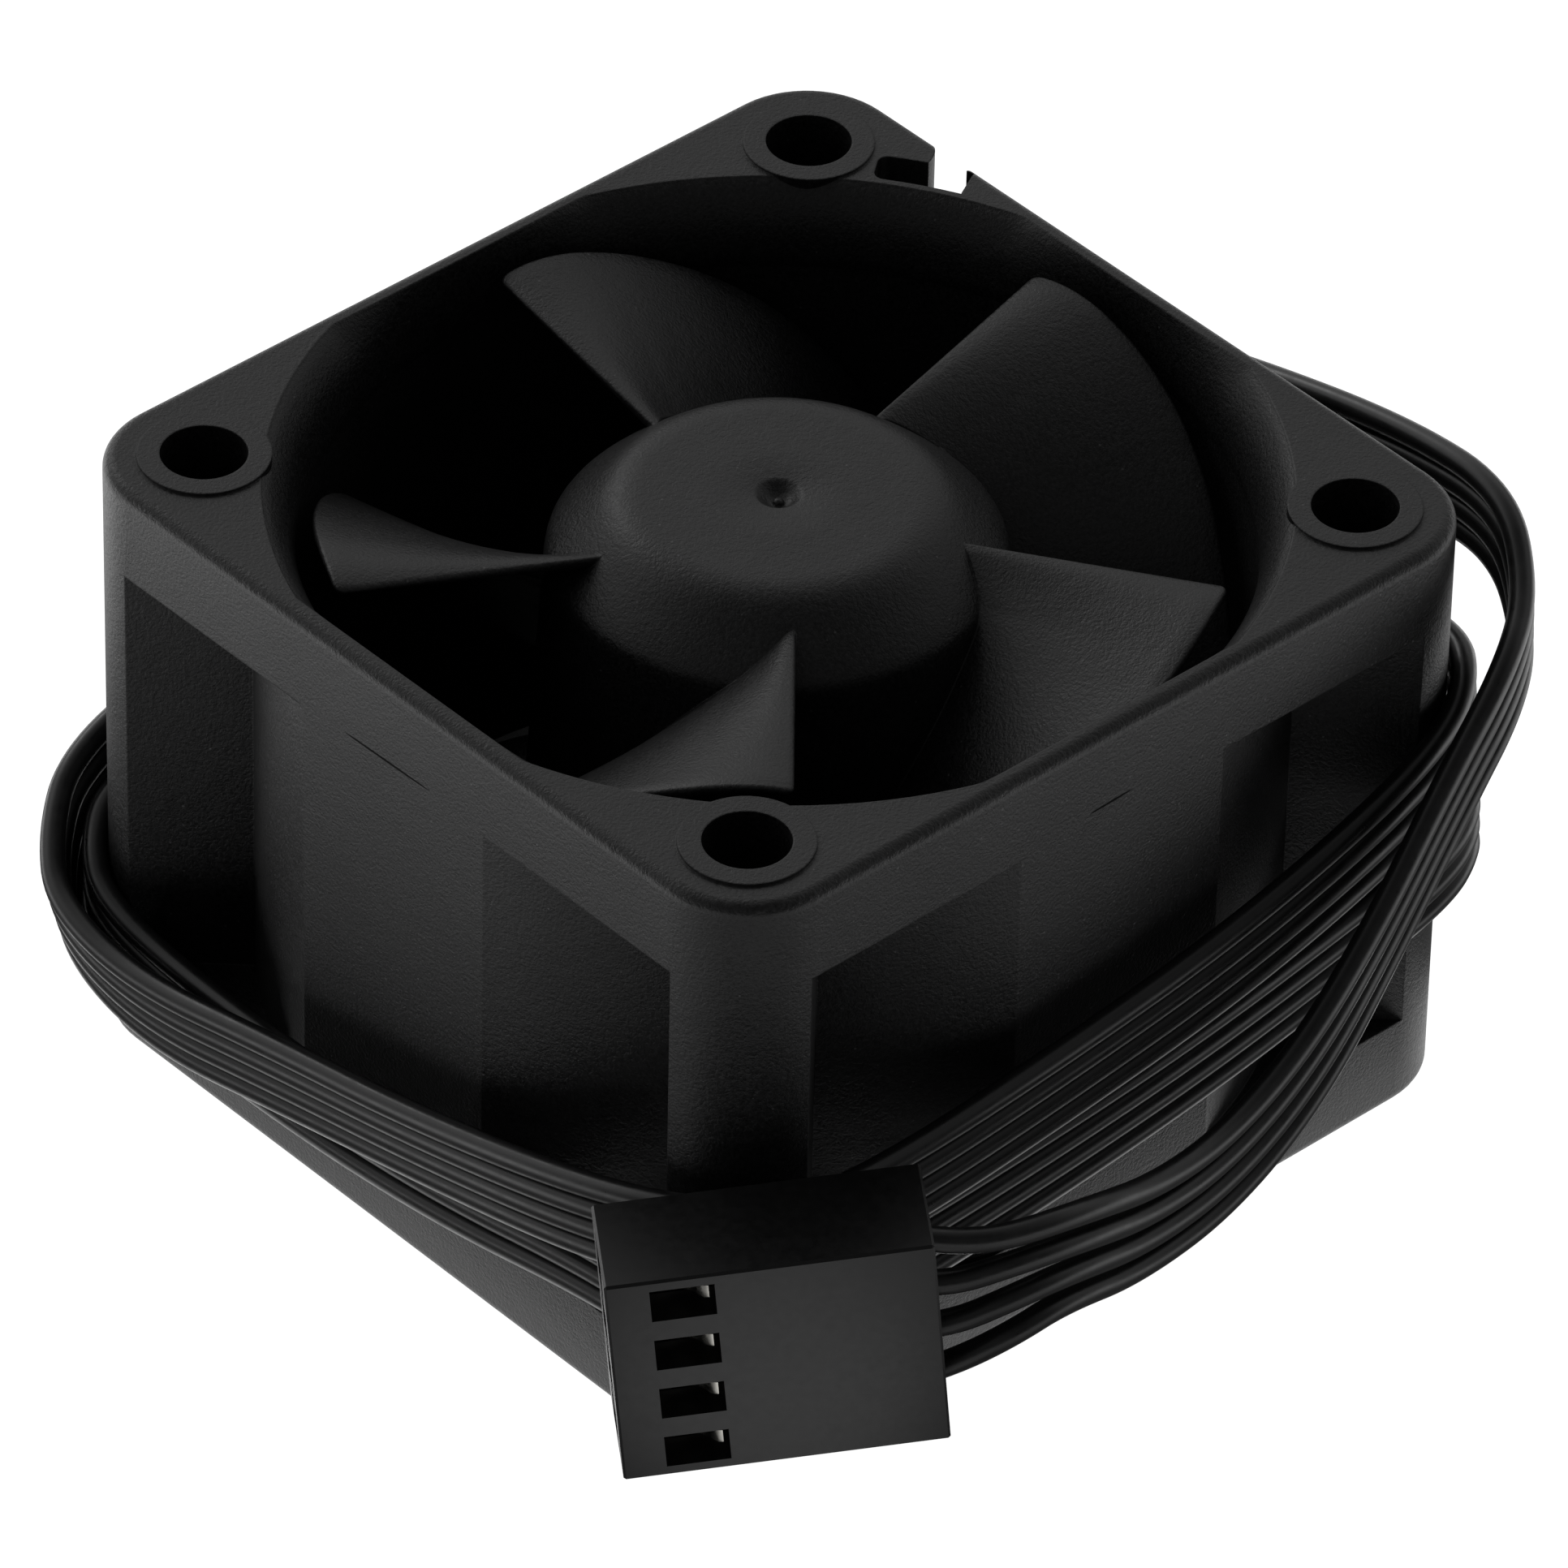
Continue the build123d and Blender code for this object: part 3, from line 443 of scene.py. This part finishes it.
def specks(nt, vec, scale, size, share):
    """Sparse small dots: 1 on a dot, 0 elsewhere."""
    v = nt.nodes.new("ShaderNodeTexVoronoi")
    v.inputs["Scale"].default_value = scale
    nt.links.new(vec, v.inputs["Vector"])
    near = mapr(nt, v.outputs["Distance"], size * 0.6, size, 1.0, 0.0)
    sep = nt.nodes.new("ShaderNodeSeparateColor")
    nt.links.new(v.outputs["Color"], sep.inputs[0])
    pick = nt.nodes.new("ShaderNodeMath")
    pick.operation = "LESS_THAN"
    pick.inputs[1].default_value = share
    nt.links.new(sep.outputs[0], pick.inputs[0])
    m = nt.nodes.new("ShaderNodeMath")
    m.operation = "MULTIPLY"
    nt.links.new(near, m.inputs[0])
    nt.links.new(pick.outputs[0], m.inputs[1])
    return m.outputs[0]


def plastic(name, dark, light, rough=(0.36, 0.48), grain=1.0, fleck=0.35, spec=0.5):
    """Glass-filled moulded plastic: mottled charcoal, a fine eroded grain and a few pale flecks."""
    m, nt, bs, tc = new_mat(name)
    v = tc.outputs["Object"]
    cloud = nz(nt, v, 260.0, 4.0, 0.6)
    fine = nz(nt, v, 6500.0, 2.0, 0.7)
    col = ramp(nt, cloud, [(0.32, dark), (0.68, light)])
    tone = ramp(nt, fine, [(0.30, (0.10, 0.10, 0.10)), (0.70, (1.90, 1.90, 1.90))])
    col = mix(nt, 1.0, col, tone, "MULTIPLY")
    dots = specks(nt, v, 2600.0, 0.16, 0.07)
    col = mix(nt, dots, col, tuple(c * 3.0 + 0.035 for c in light))
    nt.links.new(col, bs.inputs["Base Color"])
    nt.links.new(mapr(nt, fine, 0.3, 0.7, rough[0], rough[1]), bs.inputs["Roughness"])
    bs.inputs["Specular IOR Level"].default_value = spec
    edge = nt.nodes.new("ShaderNodeBevel")
    edge.samples = 4
    edge.inputs["Radius"].default_value = 0.00011
    b = bump(nt, bs, fine, grain, 0.000035, edge.outputs[0])
    bump(nt, bs, nz(nt, v, 1100.0, 2.0), fleck, 0.00005, b)
    return m


def metal(name, col, rough=(0.2, 0.35), scratch=None, scale=1800.0):
    m, nt, bs, tc = new_mat(name)
    v = tc.outputs["Object"]
    if scratch:
        mp = nt.nodes.new("ShaderNodeMapping")
        mp.inputs["Scale"].default_value = scratch
        nt.links.new(v, mp.inputs[0])
        v = mp.outputs[0]
    n = nz(nt, v, scale, 4.0, 0.6)
    nt.links.new(ramp(nt, n, [(0.3, tuple(c * 0.78 for c in col)), (0.7, tuple(min(1, c * 1.1) for c in col))]), bs.inputs["Base Color"])
    bs.inputs["Metallic"].default_value = 1.0
    nt.links.new(mapr(nt, n, 0.3, 0.7, rough[0], rough[1]), bs.inputs["Roughness"])
    bump(nt, bs, n, 0.15, 0.00002)
    return m


def simple(name, dark, light, rough=(0.4, 0.55), scale=1500.0, grain=0.2, spec=0.5):
    m, nt, bs, tc = new_mat(name)
    v = tc.outputs["Object"]
    n = nz(nt, v, scale, 4.0, 0.6)
    nt.links.new(ramp(nt, n, [(0.3, dark), (0.7, light)]), bs.inputs["Base Color"])
    nt.links.new(mapr(nt, n, 0.3, 0.7, rough[0], rough[1]), bs.inputs["Roughness"])
    bs.inputs["Specular IOR Level"].default_value = spec
    bump(nt, bs, n, grain, 0.00002)
    return m


M = {}
M["frame_plastic"] = plastic("frame_plastic", (0.0075, 0.0075, 0.0078), (0.0115, 0.0115, 0.0118))
M["impeller_plastic"] = plastic("impeller_plastic", (0.0078, 0.0078, 0.0081), (0.0118, 0.0118, 0.0121))
M["connector_plastic"] = simple("connector_plastic", (0.0044, 0.0044, 0.0046), (0.0060, 0.0060, 0.0062), (0.28, 0.36), 2500.0, 0.10, 0.48)
M["blank_label"] = simple("blank_label", (0.62, 0.62, 0.61), (0.72, 0.72, 0.71), (0.3, 0.4), 900.0, 0.05)
M["brass_tube"] = metal("brass_tube", (0.72, 0.52, 0.25), (0.25, 0.4), (1, 1, 12))
M["bearing_steel"] = metal("bearing_steel", (0.55, 0.56, 0.58), (0.12, 0.25), (1, 1, 20))
M["ball_steel"] = metal("ball_steel", (0.72, 0.73, 0.75), (0.05, 0.10))
M["shield_steel"] = metal("shield_steel", (0.58, 0.58, 0.60), (0.25, 0.35))
M["core_steel"] = metal("core_steel", (0.36, 0.36, 0.38), (0.35, 0.55), (1, 1, 60), 300.0)
M["insulator_plastic"] = simple("insulator_plastic", (0.62, 0.58, 0.48), (0.74, 0.70, 0.60))
M["copper_enamel"] = metal("copper_enamel", (0.62, 0.22, 0.08), (0.22, 0.35), (1, 1, 25), 400.0)
M["tinned_metal"] = metal("tinned_metal", (0.66, 0.66, 0.65), (0.2, 0.4))
M["board_laminate"] = simple("board_laminate", (0.012, 0.10, 0.035), (0.02, 0.15, 0.055), (0.25, 0.35), 600.0, 0.1)
M["chip_black"] = simple("chip_black", (0.012, 0.012, 0.012), (0.025, 0.025, 0.025), (0.45, 0.6))
M["capacitor_ceramic"] = simple("capacitor_ceramic", (0.38, 0.26, 0.14), (0.5, 0.36, 0.2), (0.35, 0.5))
M["yoke_steel"] = metal("yoke_steel", (0.48, 0.48, 0.50), (0.25, 0.4), (1, 1, 8))
M["magnet_ferrite"] = simple("magnet_ferrite", (0.03, 0.03, 0.034), (0.06, 0.06, 0.066), (0.45, 0.65))
M["brass_bush"] = metal("brass_bush", (0.75, 0.56, 0.28), (0.2, 0.3), (1, 1, 12))
M["shaft_steel"] = metal("shaft_steel", (0.6, 0.6, 0.62), (0.08, 0.16), (1, 1, 10))
M["clip_plastic"] = simple("clip_plastic", (0.72, 0.72, 0.68), (0.82, 0.82, 0.78))
M["spring_steel"] = metal("spring_steel", (0.42, 0.43, 0.46), (0.2, 0.3))
M["wire_jacket"] = simple("wire_jacket", (0.0060, 0.0060, 0.0063), (0.0092, 0.0092, 0.0095), (0.27, 0.38), 1800.0, 0.16, 0.62)
M["terminal_metal"] = metal("terminal_metal", (0.80, 0.78, 0.72), (0.15, 0.3), (1, 1, 1), 2200.0)

slot_of = {s["node"]: s["material_slot"] for s in frame["record"]["subparts"]}
for name, ob in NODES.items():
    ob.data.materials.clear()
    ob.data.materials.append(M[slot_of[name]])
    for poly in ob.data.polygons:
        poly.material_index = 0
for ob in wires:
    ob.data.materials.append(M["wire_jacket"])
impeller.data.materials.append(M["impeller_plastic"])
mouth.data.materials.append(M["frame_plastic"])
lances.data.materials.append(M["terminal_metal"])
# the witness slivers' near-black, barely reflecting finish is painted shade of the line's groove
witness_shade_slivers.data.materials.append(simple("witness_line_painted_shade", (0.0010, 0.0010, 0.0010), (0.0014, 0.0014, 0.0014), (0.6, 0.7), 1800.0, 0.1, 0.08))


# ---------------------------------------------------------------- floor with painted light and shadow, world, lights
SKY = [(0.0, 0.38), (0.34, 0.46), (0.55, 0.70), (0.66, 0.68), (0.80, 0.42), (0.90, 0.27), (1.0, 0.20)]    # sine of elevation, brightness
BACK = (-0.734, 0.679, 0.0)
FRONT, RIGHT = (0.734, -0.679), (0.679, 0.734)
# painted light and shadow on the glowing floor against the distance from the fan's base, in parts of 50 mm: a painted
# bright strip at the foot, a painted shadow ring from about 5 to 18 mm, brighter further out
FLOOR_PAINTED_LIGHT_AND_SHADOW = [(0.0, 1.0), (0.05, 0.85), (0.11, 0.05), (0.35, 0.05), (0.50, 0.36), (0.64, 0.60), (1.0, 0.63)]


def calc(nt, op, a, b=None):
    m = nt.nodes.new("ShaderNodeMath")
    m.operation = op
    for sock, v in zip(m.inputs, (a, b)):
        if v is None:
            continue
        if isinstance(v, bpy.types.NodeSocket):
            nt.links.new(v, sock)
        else:
            sock.default_value = v
    return m.outputs[0]


def outside(nt, x, y, cx, cy, hx, hy):
    """Distance outside an upright rectangle on the floor, the larger of the two axes."""
    dx = calc(nt, "SUBTRACT", calc(nt, "ABSOLUTE", calc(nt, "SUBTRACT", x, cx)), hx)
    dy = calc(nt, "SUBTRACT", calc(nt, "ABSOLUTE", calc(nt, "SUBTRACT", y, cy)), hy)
    return calc(nt, "MAXIMUM", dx, dy)


def stage():
    me = bpy.data.meshes.new("floor")
    s = 3.0
    me.from_pydata([(-s, -s, -0.00002), (s, -s, -0.00002), (s, s, -0.00002), (-s, s, -0.00002)], [], [(0, 1, 2, 3)])
    ob = link(bpy.data.objects.new("floor", me))
    m, nt, bs, tc = new_mat("floor_white_painted_light")
    n = nz(nt, tc.outputs["Object"], 3.0, 2.0)
    nt.links.new(ramp(nt, n, [(0.3, (0.30, 0.30, 0.30)), (0.7, (0.32, 0.32, 0.32))]), bs.inputs["Base Color"])
    bs.inputs["Roughness"].default_value = 0.9
    bs.inputs["Specular IOR Level"].default_value = 0.1
    sep = nt.nodes.new("ShaderNodeSeparateXYZ")
    nt.links.new(tc.outputs["Object"], sep.inputs[0])
    x, y = sep.outputs[0], sep.outputs[1]
    # the floor glows: its emission paints light and shadow around the fan, from the table above
    soft = mapr(nt, outside(nt, x, y, 0.0, 0.0, 0.02, 0.02), 0.0, 0.05, 0.0, 1.0)
    floor_painted_light_ramp = ramp(nt, soft, [(a, (b, b, b)) for a, b in FLOOR_PAINTED_LIGHT_AND_SHADOW])
    reach = calc(nt, "SQRT", calc(nt, "ADD", calc(nt, "POWER", x, 2.0), calc(nt, "POWER", y, 2.0)))
    # painted shadow under the fan: the floor's glow is cut to nothing inside a 19 mm square, save its far corners
    under_fan_painted_shadow = calc(nt, "MAXIMUM", mapr(nt, outside(nt, x, y, 0.0, 0.0, 0.0190, 0.0190), 0.0, 0.0008, 0.0, 1.0), mapr(nt, reach, 0.0256, 0.0263, 0.0, 1.0))
    to_front = calc(nt, "ADD", calc(nt, "MULTIPLY", x, FRONT[0]), calc(nt, "MULTIPLY", y, FRONT[1]))
    to_right = calc(nt, "ADD", calc(nt, "MULTIPLY", x, RIGHT[0]), calc(nt, "MULTIPLY", y, RIGHT[1]))
    # painted shade and light by side: the floor's glow is darker towards the front and brighter far to the left and to
    # the right
    painted_light_and_shade_by_side = calc(nt, "MULTIPLY", mapr(nt, to_front, 0.025, 0.05, 1.0, 0.5), mapr(nt, to_right, 0.044, 0.058, 0.75, 1.25))
    painted_light_and_shade_by_side = calc(nt, "MULTIPLY", painted_light_and_shade_by_side, mapr(nt, to_right, -0.054, -0.038, 2.2, 1.0))
    painted_floor_light = mix(nt, 1.0, mix(nt, 1.0, floor_painted_light_ramp, under_fan_painted_shadow, "MULTIPLY"), painted_light_and_shade_by_side, "MULTIPLY")
    # painted pool of light: the floor glows brighter in a small disc in front of the socket
    away = calc(nt, "SQRT", calc(nt, "ADD", calc(nt, "POWER", calc(nt, "SUBTRACT", x, 0.0345), 2.0), calc(nt, "POWER", calc(nt, "SUBTRACT", y, -0.0275), 2.0)))
    painted_light_pool = mapr(nt, away, 0.005, 0.010, 0.5, 0.0)
    painted_floor_light = mix(nt, 1.0, painted_floor_light, painted_light_pool, "ADD")
    # the camera sees an evenly bright floor outside the fan's footprint; all other rays see the painted light and
    # shadow
    ray = nt.nodes.new("ShaderNodeLightPath")
    seen = calc(nt, "MULTIPLY", ray.outputs["Is Camera Ray"], under_fan_painted_shadow)
    nt.links.new(mix(nt, seen, painted_floor_light, (0.65, 0.65, 0.65)), bs.inputs["Emission Color"])
    bs.inputs["Emission Strength"].default_value = 1.6
    me.materials.append(m)

    w = bpy.data.worlds.new("world")
    bpy.context.scene.world = w
    w.use_nodes = True
    nt = w.node_tree
    nt.nodes.clear()
    out = nt.nodes.new("ShaderNodeOutputWorld")
    bg = nt.nodes.new("ShaderNodeBackground")
    tc = nt.nodes.new("ShaderNodeTexCoord")
    sep = nt.nodes.new("ShaderNodeSeparateXYZ")
    nt.links.new(tc.outputs["Generated"], sep.inputs[0])
    dot = nt.nodes.new("ShaderNodeVectorMath")
    dot.operation = "DOT_PRODUCT"
    nt.links.new(tc.outputs["Generated"], dot.inputs[0])
    dot.inputs[1].default_value = BACK
    side = mapr(nt, dot.outputs["Value"], -0.35, 0.35, 0.17, 1.0)
    across = nt.nodes.new("ShaderNodeVectorMath")
    across.operation = "DOT_PRODUCT"
    nt.links.new(tc.outputs["Generated"], across.inputs[0])
    across.inputs[1].default_value = (RIGHT[0], RIGHT[1], 0.0)
    side = calc(nt, "MULTIPLY", side, mapr(nt, across.outputs["Value"], -0.5, 0.6, 1.25, 0.66))
    nt.links.new(mix(nt, 1.0, ramp(nt, sep.outputs[2], [(a, (b, b, b)) for a, b in SKY]), side, "MULTIPLY"), bg.inputs[0])
    bg.inputs[1].default_value = 1.0
    nt.links.new(bg.outputs[0], out.inputs[0])

    def area(name, loc, target, size, power):
        li = bpy.data.lights.new(name, "AREA")
        li.shape = "RECTANGLE"
        li.size, li.size_y = size
        li.energy = power
        o = link(bpy.data.objects.new(name, li))
        o.location = loc
        d = Vector(target) - Vector(loc)
        o.rotation_euler = d.to_track_quat("-Z", "Y").to_euler()

    area("left", (-0.95, 0.15, 0.55), (0, 0, 0.01), (0.30, 0.20), 0.6)


stage()
bpy.context.scene.view_settings.view_transform = "Standard"
